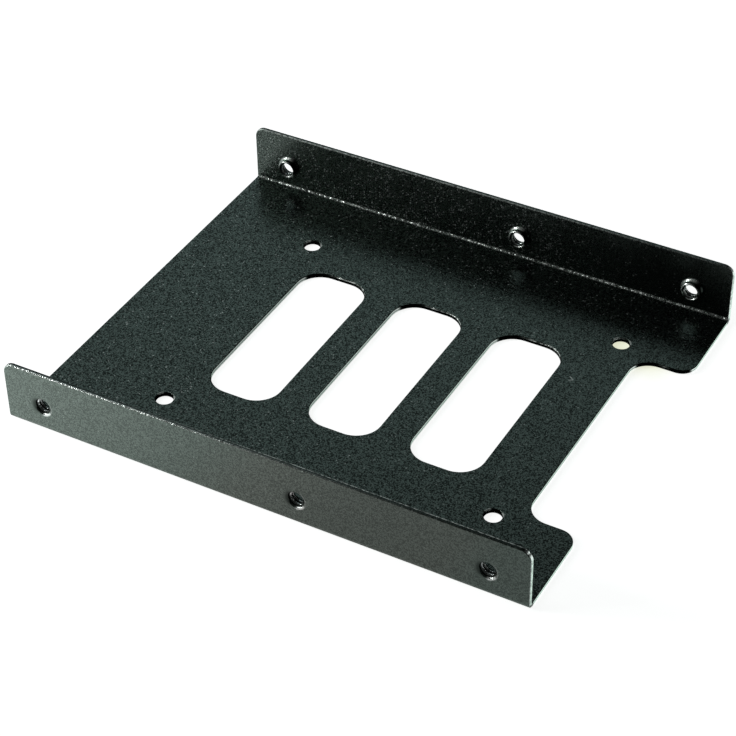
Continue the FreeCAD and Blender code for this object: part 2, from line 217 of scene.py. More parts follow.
# Sides of a threaded hole for its painted highlights, painted shade and painted glint: a direction across and
# up, and the edge of its mask
MOUTH_HIGHLIGHT_SIDE = ((0.5, -0.87), (0.75, 0.95))
MOUTH_RIGHT_SIDE = ((1.0, 0.0), (0.2, 0.8))
MOUTH_SHADE_SIDE = ((-1.0, 0.0), (0.1, 0.9))
COLLAR_HIGH_SIDE = ((-0.5, 0.87), (0.3, 0.7))
COLLAR_LOW_SIDE = ((0.4, -0.92), (0.6, 0.9))
COLLAR_SHADE_SIDE = ((1.0, 0.0), (0.1, 0.6))
THREAD_GLINT_SIDE = ((-0.77, 0.64), (0.6, 0.9))

# Wear and painted glint of the threads
THREAD_CREST = (1.62, 1.50)
THREAD_FLANK = (1.74, 1.66)
CREST_DRAG = (0.46, 0.56)
CREST_LEAST = 0.12
CREST_WEAR = 0.68
GLINT_DRAG = (0.38, 0.50)
THREAD_ROUGHNESS = 0.28
DRAG_ROUGHNESS = 0.10
DRAG_RELIEF = 0.3
DRAG_DEPTH = 0.02 * MM
THREAD_IOR = 1.45

# Section and winding of the threads
FOOT_SHARE = 7 / 8
FLANK_SLOPE = math.tan(math.radians(30))
SHOULDER_SHARE = 0.12
SHOULDER_LEAN = 0.3
STEPS_PER_TURN = 72
LEAST_RISE = 0.02

# Studio floor: places in millimetres, and what it shows to reflections and to the camera
FLOOR_IN_FRONT = (-46.0, -52.0)
FRONT_TO_RIGHT = (-85.0, 25.0)
FRONT_LEVEL = 1.02
FRONT_LOSS = 0.75
WARM_ALONG = ((-25.0, 0.0), (50.0, 38.0))
WARM_RED = 0.14
FLOOR_LEVEL = 0.42
FLOOR_RISE = 0.32
FLOOR_RISE_ALONG = (-40.0, 50.0)
FLOOR_END_RISE = 0.26
FLOOR_END_ALONG = (44.0, 56.0)
# Painted shade: a patch by the notch where the floor glows lower and cream, so the tray's shadow shows cream
# there
CREAM_ALONG = ((30.0, 40.0), (58.0, 50.0))
CREAM_ACROSS = ((20.0, 30.0), (46.0, 40.0))
PAPER_GLOW = (0.88, 0.89, 0.88, 1.0)
CREAM_GLOW = (0.72, 0.74, 0.56, 1.0)
PAPER_COLOUR = (0.80, 0.80, 0.84, 1.0)

# Lamps in metres, with the points that they face, and the camera
MIDDLE = (0.0, 0.0, 0.005)
FRONT_RIM = (-0.045, -0.05, 0.014)
CARD_PLACE = (-0.35, 0.475, 0.295)
CARD_SIZE = (0.72, 0.50)
COOL_WHITE = (0.80, 0.95, 1.0)
RIM_LAMP_PLACE = (0.42, 0.37, 0.25)
RIM_LAMP_SIZE = (0.06, 0.06)
KEY_PLACE = (-0.68, -0.06, 0.50)
KEY_SIZE = (0.40, 0.40)
ACCENT_PLACE = (-0.66, -0.32, 0.28)
ACCENT_SIZE = (0.13, 0.13)
EDGE_LAMP_PLACE = (-0.335, -0.295, 0.288)
EDGE_LAMP_SIZE = (0.03, 0.03)
SENSOR_WIDTH = 36.0
CLIP_START = 0.01
CLIP_END = 20.0


class Flow:
    """A value on its way through a node tree, which takes part in Python sums."""

    def __init__(self, tree, socket=None):
        self.tree = tree
        self.socket = socket

    def node(self, kind, settings=None, inputs=None, output=0):
        """Adds a node with its settings first and then its inputs, and gives one output or several."""
        made = self.tree.nodes.new(kind)
        for name, value in (settings or {}).items():
            setattr(made, name, value)
        for name, value in (inputs or {}).items():
            if isinstance(value, Flow):
                self.tree.links.new(value.socket, made.inputs[name])
            else:
                made.inputs[name].default_value = value
        if isinstance(output, tuple):
            return [Flow(self.tree, made.outputs[name]) for name in output]
        return Flow(self.tree, made.outputs[output]) if len(made.outputs) else None

    def _sum(self, operation, first, second):
        """A Math node on two values."""
        return self.node("ShaderNodeMath", {"operation": operation}, {0: first, 1: second})

    def __add__(self, other):
        return self._sum("ADD", self, other)

    def __radd__(self, other):
        return self._sum("ADD", other, self)

    def __sub__(self, other):
        return self._sum("SUBTRACT", self, other)

    def __rsub__(self, other):
        return self._sum("SUBTRACT", other, self)

    def __mul__(self, other):
        return self._sum("MULTIPLY", self, other)

    def __rmul__(self, other):
        return self._sum("MULTIPLY", other, self)

    def __truediv__(self, other):
        return self._sum("DIVIDE", self, other)

    def greater(self, other):
        """The larger of two values."""
        return self._sum("MAXIMUM", self, other)

    def lesser(self, other):
        """The smaller of two values."""
        return self._sum("MINIMUM", self, other)

    def root(self):
        """The square root."""
        return self._sum("POWER", self, 0.5)

    def size(self):
        """The value without its sign."""
        return self._sum("MAXIMUM", self, -1 * self)

    def lift(self, least):
        """The value with its range of 0 to 1 drawn up to least to 1."""
        return least + (1 - least) * self

    def step(self, low, high):
        """0 below low, 1 above high and a smooth rise between, or a fall where low is the higher."""
        settings = {"interpolation_type": "SMOOTHSTEP"}
        if low <= high:
            return self.node("ShaderNodeMapRange", settings, {0: self, 1: low, 2: high, 3: 0.0, 4: 1.0})
        return self.node("ShaderNodeMapRange", settings, {0: self, 1: high, 2: low, 3: 1.0, 4: 0.0})

    def band(self, rise, fall):
        """1 between a rise and a fall, and 0 outside them."""
        return self.step(*rise) * self.step(*fall)

    def tint(self, below, above):
        """A colour between two colours, by this value."""
        settings = {"data_type": "RGBA", "clamp_factor": True}
        return self.node("ShaderNodeMix", settings, {0: self, 6: below, 7: above}, output=2)


def opaque(colour):
    """A colour property as a shader's four numbers."""
    return (*colour, 1.0)


def new_material(name):
    """An empty material and the start of its node tree."""
    material = bpy.data.materials.new(name)
    material.use_nodes = True
    material.node_tree.nodes.clear()
    return material, Flow(material.node_tree)


class FinishSettings(bpy.types.PropertyGroup):
    """Powder coat of the sheet with its painted highlights and shade, and bright wear and a painted glint on
    the threads.
    """

    coat_colour: bpy.props.FloatVectorProperty(
        name="Coat", description="Colour of the powder coat",
        subtype="COLOR", size=3, default=(0.0016, 0.0022, 0.0021), min=0, max=1)
    grain_colour: bpy.props.FloatVectorProperty(
        name="Grain", description="Colour of the raised grains of the coat",
        subtype="COLOR", size=3, default=(0.004, 0.0052, 0.005), min=0, max=1)
    fleck_colour: bpy.props.FloatVectorProperty(
        name="Fleck", description="Colour of the brightest flecks in the coat",
        subtype="COLOR", size=3, default=(0.88, 0.95, 0.93), min=0, max=1)
    grain_size: bpy.props.FloatProperty(
        name="Grain size", description="Spacing of the grains",
        default=0.28 * MM, unit="LENGTH", precision=5)
    fleck_spacing: bpy.props.FloatProperty(
        name="Fleck spacing", description="Spacing of the places where a fleck may lie",
        default=0.5 * MM, unit="LENGTH", precision=5)
    fleck_share: bpy.props.FloatProperty(
        name="Fleck share", description="Share of those places that hold a fleck",
        default=0.34, min=0, max=1, subtype="FACTOR")
    coat_roughness: bpy.props.FloatProperty(
        name="Roughness", description="Roughness of the coat between its grains",
        default=0.25, min=0, max=1, subtype="FACTOR")
    coat_ior: bpy.props.FloatProperty(
        name="Refraction", description="Index of refraction of the coat", default=2.6, min=1, max=3)
    pit_depth: bpy.props.FloatProperty(
        name="Pits", description="How much gloss the coat loses between its grains",
        default=0.84, min=0, max=1, subtype="FACTOR")
    grain_relief: bpy.props.FloatProperty(
        name="Relief", description="Strength of the pebbled relief",
        default=0.25, min=0, max=1, subtype="FACTOR")
    # Colour of the painted highlights along the rims, the rear fold and at the holes, and of the real scuff
    # and dots
    highlight_and_mark_colour: bpy.props.FloatVectorProperty(
        name="Rim", description="Colour of the coat where it is thin along rims and folds",
        subtype="COLOR", size=3, default=(0.88, 0.94, 0.90), min=0, max=1)
    # Laid only on the ends and walls that face the connector end, where the bare metal partly stands in for
    # their reflection of the floor
    steel_colour: bpy.props.FloatVectorProperty(
        name="Steel", description="Colour of the bare cut ends of the sheet",
        subtype="COLOR", size=3, default=(0.72, 0.80, 0.76), min=0, max=1)
    sheen_colour: bpy.props.FloatVectorProperty(
        name="Sheen", description="Tint of the coat's reflections",
        subtype="COLOR", size=3, default=(0.78, 1.0, 0.87), min=0, max=1)
    # Also the colour of the painted glint in the front holes
    thread_colour: bpy.props.FloatVectorProperty(
        name="Thread", description="Colour of the worn crests of the threads",
        subtype="COLOR", size=3, default=(0.78, 0.83, 0.81), min=0, max=1)


class ThreadSettings(bpy.types.PropertyGroup):
    """Screw thread in each drawn hole."""

    pitch: bpy.props.FloatProperty(
        name="Pitch", description="Advance of the thread in one turn, 32 turns to the inch",
        default=25.4 / 32 * MM, unit="LENGTH", precision=5)
    height: bpy.props.FloatProperty(
        name="Height", description="How far the ridge stands in from the wall",
        default=0.33 * MM, unit="LENGTH", precision=5)
    seat: bpy.props.FloatProperty(
        name="Seat", description="How far the foot of the ridge lies in the wall",
        default=0.02 * MM, unit="LENGTH", precision=5)
    margin: bpy.props.FloatProperty(
        name="Margin", description="Plain wall left at each end of the hole",
        default=0.10 * MM, unit="LENGTH", precision=5)
    lead: bpy.props.FloatProperty(
        name="Lead", description="Share of a turn over which the ridge rises at each end",
        default=0.3, min=0.05, max=0.5, subtype="FACTOR")


class StageSettings(bpy.types.PropertyGroup):
    """White studio and the photograph's point of view."""

    azimuth: bpy.props.FloatProperty(
        name="Azimuth", description="Turn of the camera round the tray, from straight in front",
        default=math.radians(29.486), subtype="ANGLE")
    elevation: bpy.props.FloatProperty(
        name="Elevation", description="Height of the camera above the horizon",
        default=math.radians(38.875), subtype="ANGLE")
    roll: bpy.props.FloatProperty(
        name="Roll", description="Tilt of the camera about its own line of sight",
        default=math.radians(-0.917), subtype="ANGLE")
    aim: bpy.props.FloatVectorProperty(
        name="Aim", description="Point of the floor on the camera's line of sight",
        size=3, subtype="TRANSLATION", unit="LENGTH", default=(-2.024 * MM, -0.993 * MM, 0.0))
    distance: bpy.props.FloatProperty(
        name="Distance", description="Camera to the aim", default=476.73 * MM, unit="LENGTH")
    lens: bpy.props.FloatProperty(
        name="Lens", description="Focal length on a sensor 36 mm wide", default=109.52, unit="CAMERA")
    floor_size: bpy.props.FloatProperty(
        name="Floor", description="Side of the white floor", default=6.0, unit="LENGTH")
    studio_level: bpy.props.FloatProperty(
        name="Studio", description="Brightness of the room round the tray", default=0.03, min=0)
    card_level: bpy.props.FloatProperty(
        name="Card", description="Brightness of the white card behind and above, which the tray reflects",
        default=0.36, min=0)
    key_power: bpy.props.FloatProperty(
        name="Key", description="Power of the soft box on the left", default=0.9, min=0, unit="POWER")
    accent_power: bpy.props.FloatProperty(
        name="Accent", description="Power of the small lamp low on the left",
        default=1.2, min=0, unit="POWER")
    edge_power: bpy.props.FloatProperty(
        name="Edge", description="Power of the small lamp that catches the front rim and the rear fold",
        default=0.11, min=0, unit="POWER")
    rim_power: bpy.props.FloatProperty(
        name="Rim", description="Power of the small lamp behind on the right, which draws the near rims",
        default=0.06, min=0, unit="POWER")


def millimetres(flow):
    """Place on the object in millimetres, whole and by axis."""
    place = flow.node("ShaderNodeTexCoord", output="Object")
    place = flow.node("ShaderNodeVectorMath", {"operation": "SCALE"}, {"Vector": place, "Scale": PER_MM})
    x, y, z = flow.node("ShaderNodeSeparateXYZ", None, {"Vector": place}, output=("X", "Y", "Z"))
    return place, x, y, z


def noise(flow, place, scale, detail, roughness):
    """Soft noise with this many features to the millimetre."""
    return flow.node("ShaderNodeTexNoise", {"noise_dimensions": "3D"}, {
        "Vector": place, "Scale": scale, "Detail": detail, "Roughness": roughness})


def distance(across, along):
    """Length of a step across and along."""
    return (across * across + along * along).root()


def from_segment(x, y, start, end):
    """Distance from a straight line between two points of a plane."""
    run = (end[0] - start[0], end[1] - start[1])
    square = run[0] ** 2 + run[1] ** 2
    share = (x - start[0]) * (run[0] / square) + (y - start[1]) * (run[1] / square)
    share = share.greater(0.0).lesser(1.0)
    return distance(x - start[0] - share * run[0], y - start[1] - share * run[1])


def from_point(x, y, point):
    """Distance from a point of a flat face."""
    return distance(x - point[0], y - point[1])


def round_hole(x, z, hole):
    """Place across and up from the middle of a threaded hole, and the distance from it."""
    across = x - hole["pos_m"][0] * PER_MM
    up = z - hole["pos_m"][2] * PER_MM
    return across, up, distance(across, up)


def on_side(around, direction, edge):
    """Mask of one side of a hole, from the places that round_hole gives."""
    across, up, reach = around
    return ((direction[0] * across + direction[1] * up) / reach).step(*edge)


def inside_flange_rim(x, z):
    """Distance out from the rim of a flange, less than 0 inside a rectangle with round upper corners."""
    over = x.size() - (HALF_LENGTH - FLANGE_CORNER)
    above = z - (HEIGHT - FLANGE_CORNER)
    inside = over.greater(above).lesser(0.0)
    return distance(over.greater(0.0), above.greater(0.0)) + inside - FLANGE_CORNER


def walls_of_floor(x, y, z):
    """Masks of the walls punched through the floor: all of them, which are painted black as shade where they
    don't face the connector end; those that face the connector end, whose bare metal stands in for their
    reflection of the floor; and the right-hand part of those at the far ends of the slots, whose rims get a
    painted highlight."""
    walls = z.band(*WALL) * y.size().step(*BETWEEN_FOLDS)
    facing = left_part = 0 * x
    for line in FACING_WALLS:
        gap = (x - line).size()
        facing = facing.greater(gap.step(*FACING_NEAR))
        left_part = left_part.greater(gap.step(*LEFT_PART))
    far_right = walls * y.step(*FAR_END) * (1 - left_part)
    return walls, walls * facing * z.step(*FACING_TOP), far_right


def painted_light_at_holes(x, y, z):
    """Masks of painted light at the threaded holes: painted highlights on the front mouths low on the right
    and on the rear collars, painted shade in the bores, and painted shade on the left of the front mouths and
    right of the rear collars."""
    front = y.step(*FRONT_FACE)
    rear_plane = y - REAR_INNER_FACE
    collar_end = (rear_plane + COLLAR_REACH).size().step(*COLLAR_END)
    collar_foot = rear_plane.step(*COLLAR_FOOT)
    collar_side = rear_plane.band(*COLLAR_DEPTH)
    mouths = collars = bores = shade = 0 * x
    for hole in THREADED_HOLES:
        in_front = hole["pos_m"][1] < 0
        around = round_hole(x, z, hole)
        reach = around[-1]
        half = y.step(*(FRONT_HALF if in_front else REAR_HALF))
        bores = bores.greater(BORE_DARK * half * reach.step(*BORE))
        if in_front:
            right = MOUTH_RIGHT_HIGHLIGHT * on_side(around, *MOUTH_RIGHT_SIDE) * reach.step(*MOUTH_RIGHT_RING)
            side = on_side(around, *MOUTH_HIGHLIGHT_SIDE).greater(right)
            mouths = mouths.greater(front * reach.band(*MOUTH_RING) * side)
            left = on_side(around, *MOUTH_SHADE_SIDE)
            shade = shade.greater(MOUTH_DARK * front * left * reach.step(*MOUTH_SHADE_RING))
        else:
            high = on_side(around, *COLLAR_HIGH_SIDE)
            low = on_side(around, *COLLAR_LOW_SIDE)
            rim = collar_end * reach.band(*COLLAR_RIM) * high.greater(low)
            foot = collar_foot * reach.band(*COLLAR_FOOT_RING) * high
            collars = collars.greater(foot.greater(rim))
            right = on_side(around, *COLLAR_SHADE_SIDE) * (1 - low)
            shade = shade.greater(COLLAR_DARK * collar_side * right * reach.step(*COLLAR_SHADE_RING))
    return mouths, collars, bores, shade


def floor_hole_rims(x, y, z):
    """Mask of two painted highlight arcs on the far rim of each floor hole."""
    across = (x - FLOOR_HOLES_MIDDLE).size() - FLOOR_HOLES_ALONG
    along = (y.size() - FLOOR_HOLES_ACROSS) * (2 * y.step(*ACROSS_MIDDLE) - 1)
    reach = distance(across, along)
    ring = reach.band(*HOLE_RIM) * z.step(*HOLE_RIM_BOTTOM)
    return ring * (along / reach).step(*HOLE_FAR_SIDE) * (across.size() / reach).step(*HOLE_OFF_MIDDLE)


def flecks(flow, place, x, rear_wall, to_left, finish):
    """Mask of the bright flecks, which lie in some cells of a scatter and are mostly small and faint.
    They are more on the rear wall, but as painted shade few on its right, and as painted light they fade
    towards the right."""
    cells = {"Vector": place, "Scale": MM / finish.fleck_spacing, "Randomness": 1.0}
    reach, draw = flow.node("ShaderNodeTexVoronoi", {"feature": "F1"}, cells, output=("Distance", "Color"))
    lot, girth = flow.node("ShaderNodeSeparateColor", None, {"Color": draw}, output=("Red", "Green"))
    firm = 1 - FLECK_FIRM_SHARE * finish.fleck_share
    chosen = (lot + REAR_FLECKS * rear_wall).step(1 - finish.fleck_share, firm)
    disc = (reach / (FLECK_RADIUS + FLECK_RADIUS_SPREAD * girth)).step(*FLECK_EDGE)
    fleck = disc * chosen * (girth * girth).lift(FLECK_FAINTEST)
    fleck = (fleck * (1 + rear_wall)).lesser(1.0) * to_left.lift(FLECK_RIGHT)
    return fleck * (1 - REAR_RIGHT_LOSS * rear_wall * x.step(*REAR_RIGHT) * lot.step(*REAR_RIGHT_LOTS))


def flange_lines(x, y, depth, beads, to_left):
    """Masks of the painted highlight lines along the tops of the flanges: outer and inner edge of the front
    one, and inner edge of the rear one, which is painted fainter towards the right."""
    front_plane = y + HALF_WIDTH
    rear_plane = y - REAR_INNER_FACE
    outer_line = depth.step(*OUTER_LINE_DEPTH) * front_plane.step(*OUTER_LINE_FACE)
    outer_line = outer_line * beads.lift(OUTER_LINE_LEAST) * x.step(*OUTER_LINE_ALONG)
    inner_line = depth.step(*INNER_LINE_DEPTH) * front_plane.band(*INNER_LINE_FACE)
    inner_line = inner_line * beads.lift(LINE_LEAST) * x.step(*INNER_LINE_ALONG)
    rear_line = depth.step(*REAR_LINE_DEPTH) * rear_plane.band(*REAR_LINE_FACE)
    rear_line = rear_line * beads.lift(LINE_LEAST) * to_left.lift(REAR_LINE_RIGHT)
    return outer_line, inner_line, rear_line


def marks(x, y, z, outer):
    """Masks of the pale scuff and bright dots on the floor, and of the dark spot on the front flange."""
    on_floor = z.band(*FLOOR_FACE)
    upper = from_segment(x, y, SCUFF_TIP, SCUFF_UPPER)
    lower = from_segment(x, y, SCUFF_TIP, SCUFF_LOWER)
    scuff = SCUFF_WEAR * on_floor * upper.lesser(lower).step(*SCUFF_WIDTH)
    for dot in BRIGHT_DOTS:
        scuff = scuff.greater(DOT_WEAR * on_floor * from_point(x, y, dot).step(*DOT_WIDTH))
    spot = SPOT_DARK * outer * y.step(*FRONT_HALF) * from_point(x, z, FRONT_SPOT).step(*SPOT_WIDTH)
    return scuff, spot


def flange_ends(x, y, z, depth, beads):
    """Masks of the flanges' bare metal ends at the connector end, which partly stand in for their reflection,
    with a painted glint at the top corner, and of the painted shade on their tops.
    """
    end_face = x.step(*END_FACE) * z.step(*END_FACE_BOTTOM) * beads.lift(END_FACE_LEAST)
    at_corner = x.step(*AT_CORNER)
    rim = depth.step(*RIM_DEPTH)
    corner = rim * at_corner * z.step(*CORNER_BOTTOM)
    front_top = FRONT_TOP_DARK * y.step(*FRONT_HALF)
    rear_top = REAR_TOP_DARK * (y - REAR_INNER_FACE).step(*REAR_TOP)
    return end_face.greater(corner), rim * (1 - at_corner) * front_top.greater(rear_top)


def powder_coat(finish):
    """Black powder coat: a fine pebbled skin with paler raised grains, sparse bright flecks, slow mottling,
    painted highlights along the rims, the rear fold and at the holes, painted shade on the punched walls,
    flange tops, holes and right of the rear wall, bare metal ends that partly stand in for reflection, and
    one small scuff."""
    material, flow = new_material("black_powder_coat")
    place, x, y, z = millimetres(flow)
    grain = noise(flow, place, MM / finish.grain_size, *GRAIN)
    mottle = noise(flow, place, *MOTTLE)
    beads = noise(flow, place, *STREAK).step(*BEADS)
    drops = noise(flow, place, *DROPS)
    raised = grain.step(*RAISED_GRAIN)
    rear_wall = (y - REAR_INNER_FACE).step(*REAR_WALL) * z.step(*ABOVE_FOLD)
    # Painted light: falls from the left end to the right, for the flecks and the rear highlight line
    to_left = x.step(*TO_LEFT)
    fleck = flecks(flow, place, x, rear_wall, to_left, finish)
    outer = y.size().step(*OUTER_FACES)
    grain_pits_and_rear_shade = finish.pit_depth * grain.step(*LOW_GRAIN) * (1 - OUTER_PITS_LOSS * outer)
    # Painted shade: matte black over the right of the rear wall, outside the flecks
    grain_pits_and_rear_shade = grain_pits_and_rear_shade.greater(REAR_RIGHT_SHADE * rear_wall * x.step(*REAR_RIGHT_SHADE_ALONG) * (1 - fleck))

    depth = inside_flange_rim(x, z)
    outer_line, inner_line, rear_line = flange_lines(x, y, depth, beads, to_left)
    # Painted highlight along the rear fold, broken into drops
    bend = from_segment(y, z, REAR_FOLD, REAR_FOLD_END).step(*FOLD_WIDTH)
    fold = bend * drops.step(*FOLD_DROPS).lift(FOLD_LEAST)
    scuff, spot = marks(x, y, z, outer)
    walls, facing, far_right = walls_of_floor(x, y, z)
    # Painted highlight on the rims of the slots' far ends
    far_rim = far_right * z.step(*FAR_RIM_BOTTOM) * (FAR_RIM_LEAST + FAR_RIM_BEADS * beads)
    ends, painted_top_shade = flange_ends(x, y, z, depth, beads)
    # Bare metal on the ends and on the walls that face the connector end, partly standing in for their
    # reflection of the floor, with a band of painted shade across the walls
    bare_metal_and_reflection = ends.greater(facing * (1 - DARK_LINE_LOSS * z.band(*DARK_LINE)))
    mouths, collars, bores, shade = painted_light_at_holes(x, y, z)
    # Painted highlights on the front mouths and rear collars
    bright_metal = mouths.greater(collars)
    # Painted highlight arcs on the far rims of the floor holes
    arcs = floor_hole_rims(x, y, z) * beads.lift(HOLE_ARC_LEAST)
    # Painted highlights, joined below by the real scuff and dots
    lines = outer_line.greater(inner_line).greater(rear_line).greater(fold)
    pale = lines.greater(far_rim).greater(scuff).greater(bright_metal).greater(arcs)
    # Matte black for painted shade on the punched walls that don't face the connector end, the flange tops,
    # the bores and beside the holes, and for the real dark spot
    painted_shade_and_spot = (walls * (1 - facing)).greater(painted_top_shade).greater(bores).greater(shade).greater(spot)
    painted_shade_and_spot = painted_shade_and_spot * (1 - lines) * (1 - far_rim) * (1 - arcs)
    # The hollows of the grain and the painted shade on the right of the rear wall also turn matte black
    matte_black_share = painted_shade_and_spot.greater(grain_pits_and_rear_shade * (1 - pale) * (1 - bare_metal_and_reflection))

    body = raised * (GRAIN_SHADE + GRAIN_MOTTLE * mottle)
    body = body.tint(opaque(finish.coat_colour), opaque(finish.grain_colour))
    body = fleck.tint(body, opaque(finish.fleck_colour))
    body = pale.tint(body, opaque(finish.highlight_and_mark_colour))
    colour = bare_metal_and_reflection.tint(body, opaque(finish.steel_colour))
    roughness = finish.coat_roughness + RAISED_ROUGHNESS * raised - MOTTLE_ROUGHNESS * mottle
    relief = grain + FLECK_RELIEF * fleck + LINE_RELIEF * outer_line.greater(far_rim) * grain
    relief = relief + FOLD_RELIEF * bend * drops
    bump = flow.node("ShaderNodeBump", None, {
        "Strength": finish.grain_relief, "Distance": RELIEF_DEPTH, "Height": relief})
    metallic = bare_metal_and_reflection.greater(HIGHLIGHT_METAL * outer_line.greater(bright_metal).greater(fold).greater(far_rim))
    skin = flow.node("ShaderNodeBsdfPrincipled", None, {
        "Base Color": colour, "Roughness": roughness, "Metallic": metallic, "Normal": bump,
        "IOR": finish.coat_ior, "Specular Tint": opaque(finish.sheen_colour)})
    matte = flow.node("ShaderNodeBsdfDiffuse", None, {"Color": opaque(finish.coat_colour)})
    whole = flow.node("ShaderNodeMixShader", None, {0: matte_black_share, 1: skin, 2: matte})
    flow.node("ShaderNodeOutputMaterial", None, {"Surface": whole})
    return material


def thread_coat(finish):
    """Coat on the threads: black on the flanks, with wear to polished metal and fine drag marks on the
    crests, and a painted glint of polished metal on one side of the front holes."""
    material, flow = new_material("thread_coat")
    place, x, y, z = millimetres(flow)
    drag = noise(flow, place, *DRAG)
    crest = glint = 0 * x
    for hole in THREADED_HOLES:
        around = round_hole(x, z, hole)
        reach = around[-1]
        crest = crest.greater(reach.step(*THREAD_CREST))
        # Painted glint: polished metal on one side of the front bores
        glint = glint.greater(on_side(around, *THREAD_GLINT_SIDE) * reach.step(*THREAD_FLANK))
    glint = glint * y.step(*FRONT_HALF) * drag.step(*GLINT_DRAG)
    bright_metal = (crest * (CREST_LEAST + CREST_WEAR * drag.step(*CREST_DRAG))).greater(glint)
    colour = bright_metal.tint(opaque(finish.coat_colour), opaque(finish.thread_colour))
    roughness = THREAD_ROUGHNESS - DRAG_ROUGHNESS * drag
    bump = flow.node("ShaderNodeBump", None, {
        "Strength": DRAG_RELIEF, "Distance": DRAG_DEPTH, "Height": drag})
    skin = flow.node("ShaderNodeBsdfPrincipled", None, {
        "Base Color": colour, "Roughness": roughness, "Metallic": bright_metal, "Normal": bump,
        "IOR": THREAD_IOR, "Specular Tint": opaque(finish.sheen_colour)})
    flow.node("ShaderNodeOutputMaterial", None, {"Surface": skin})
    return material


def thread_profile(radius, threads):
    """The ridge's section, as radius and place along the axis, both for a full ridge.
    Two straight flanks at thirty degrees rise from a foot seven eighths of a pitch wide to a crest with round
    shoulders, and the foot is closed inside the wall."""
    foot = threads.pitch * FOOT_SHARE / 2
    crest = foot - threads.height * FLANK_SLOPE
    outer = radius + threads.seat
    inner = radius - threads.height
    shoulder = SHOULDER_SHARE * threads.height
    lean = SHOULDER_LEAN * shoulder
    along = np.array([-foot, -foot, -(foot + crest) / 2, -crest - lean, -crest + shoulder, 0.0])
    across = np.array([outer, radius, radius - threads.height / 2, inner + shoulder, inner, inner])
    along = np.concatenate([along, -along[-2::-1], [0.0]])
    across = np.concatenate([across, across[-2::-1], [outer]])
    return across, along


def thread_ridge(name, centre, axis, radius, length, threads):
    """A ridge wound right-handed about an axis.
    A point at turn u and profile place v lies at
    centre + r(v, u) * (cos u * first + sin u * second) + z * axis,
    where z is u times the pitch over a whole turn plus the profile's own place, and r shrinks back to the
    wall at both ends."""
    axis = np.array(axis, float)
    first = np.array([1.0, 0.0, 0.0])
    second = np.cross(axis, first)
    across, along = thread_profile(radius, threads)
    run = length - 2 * threads.margin
    turns = run / threads.pitch
    steps = int(round(STEPS_PER_TURN * turns)) + 1
    u = np.linspace(0, TURN * turns, steps)
    rise = np.clip(np.minimum(u, u[-1] - u) / (TURN * threads.lead), 0.0, 1.0)
    rise = LEAST_RISE + (1 - LEAST_RISE) * rise * rise * (3 - 2 * rise)
    r = radius + threads.seat + (across - radius - threads.seat)[None, :] * rise[:, None]
    z = -run / 2 + threads.pitch * u[:, None] / TURN + along[None, :] * rise[:, None]
    ring = np.cos(u)[:, None, None] * first + np.sin(u)[:, None, None] * second
    points = np.array(centre) + r[:, :, None] * ring + z[:, :, None] * axis

    count = len(across)
    row = np.arange(steps - 1)[:, None] * count
    column = np.arange(count)[None, :]
    following = (column + 1) % count
    quads = [row + column, row + following, row + count + following, row + count + column]
    quads = np.stack(quads, axis=-1).reshape(-1, 4)
    last = (steps - 1) * count
    caps = [list(range(count - 1, -1, -1)), list(range(last, last + count))]
    mesh = bpy.data.meshes.new(name)
    mesh.from_pydata(points.reshape(-1, 3).tolist(), [], quads.tolist() + caps)
    mesh.polygons.foreach_set("use_smooth", np.ones(len(mesh.polygons), bool))
    mesh.update()
    piece = bpy.data.objects.new(name, mesh)
    bpy.context.scene.collection.objects.link(piece)
    return piece


class TRAY_OT_coat(bpy.types.Operator):
    """Coats the folded sheet in black powder"""

    bl_idname = "tray.coat"
    bl_label = "Coat the sheet"

    def execute(self, context):
        material = powder_coat(context.scene.tray_finish)
        for slot in TRAY.material_slots:
            slot.material = material
        return {"FINISHED"}


class TRAY_OT_threads(bpy.types.Operator):
    """Winds a screw thread into each drawn hole of the flanges"""

    bl_idname = "tray.threads"
    bl_label = "Cut the threads"

    def execute(self, context):
        if not THREADED_HOLES:
            raise RuntimeError("the tray has no threaded holes")
        coat = thread_coat(context.scene.tray_finish)
        for hole in THREADED_HOLES:
            piece = thread_ridge(
                "ridge_" + hole["name"], hole["pos_m"], hole["axis"], hole["dims"]["r_mm"] * MM,
                hole["dims"]["length_mm"] * MM, context.scene.tray_thread)
            piece.data.materials.append(coat)
            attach(piece, "root")
        return {"FINISHED"}


